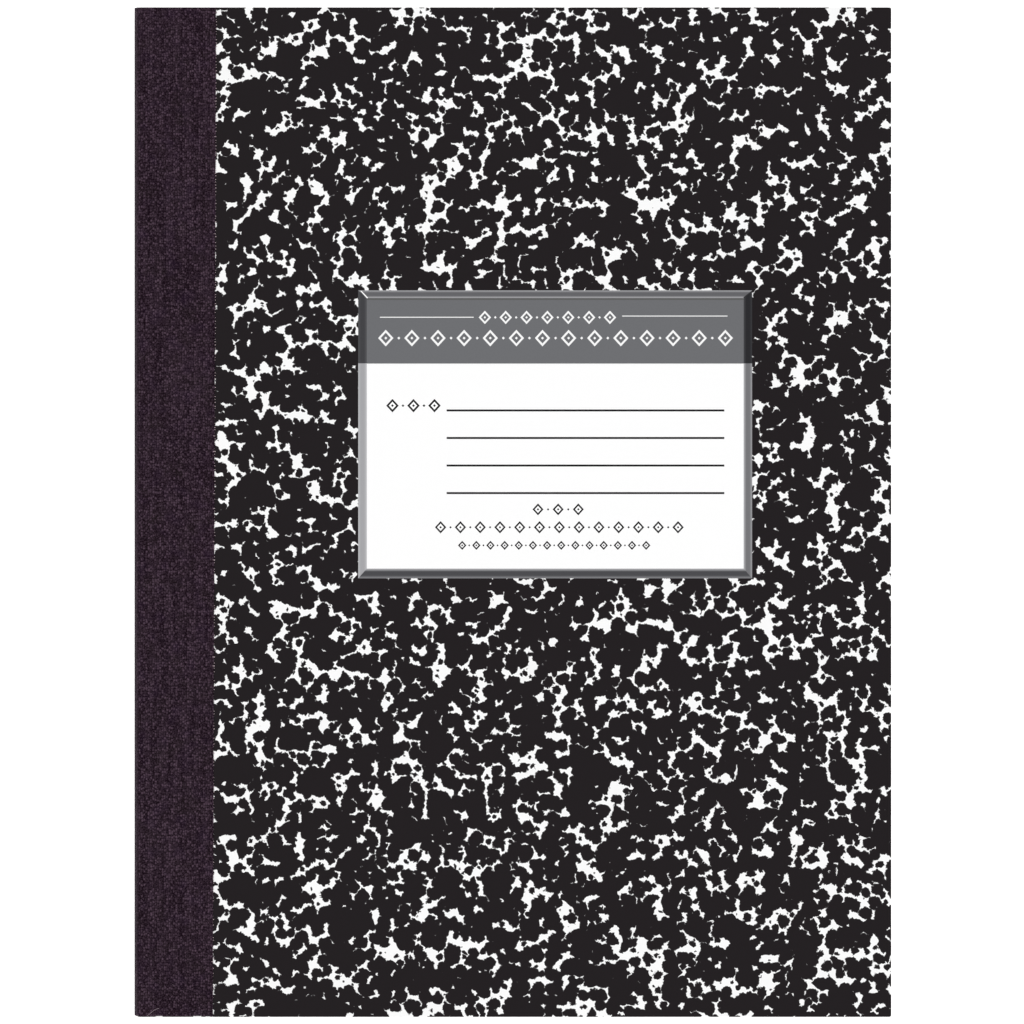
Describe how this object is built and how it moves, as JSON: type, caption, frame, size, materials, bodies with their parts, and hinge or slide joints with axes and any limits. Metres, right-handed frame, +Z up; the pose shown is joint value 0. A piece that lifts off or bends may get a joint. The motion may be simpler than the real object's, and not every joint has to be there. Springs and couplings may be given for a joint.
{
  "type": "composition notebook",
  "caption": "Sewn composition notebook with marbled board covers that open, a cloth tape spine and a ruled label on the front.",
  "frame": {"origin": "middle of the notebook's outline, on the surface it lies on, back cover down", "axes": "+X to the fore-edge, away from the spine; +Y to the head; +Z up, out of the front cover"},
  "size_m": [0.1906, 0.254, 0.0113],
  "materials": {
    "leaves": "matte",
    "thread": "matte",
    "cloth_tape": "matte",
    "board": "matte",
    "marbled_paper": "satin",
    "pastedown": "matte",
    "label": "satin"
  },
  "bodies": {
    "text_block": {"page_block": "leaves", "sewing_thread": "thread", "spine_tape": "cloth_tape"},
    "front_cover": {"front_board": "board", "front_marbled_paper": "marbled_paper", "front_pastedown": "pastedown", "cover_label": "label", "tape_front_lap": "cloth_tape"},
    "back_cover": {"back_board": "board", "back_marbled_paper": "marbled_paper", "back_pastedown": "pastedown", "tape_back_lap": "cloth_tape"}
  },
  "joints": [
    {"name": "front_cover_hinge", "type": "hinge", "parent": "text_block", "child": "front_cover", "pos_m": [-0.09488, 0, 0.00984], "axis": [0, -1, 0], "range_deg": [0, 180]},
    {"name": "back_cover_hinge", "type": "hinge", "parent": "text_block", "child": "back_cover", "pos_m": [-0.09488, 0, 0.00144], "axis": [0, 1, 0], "range_deg": [0, 180]}
  ]
}
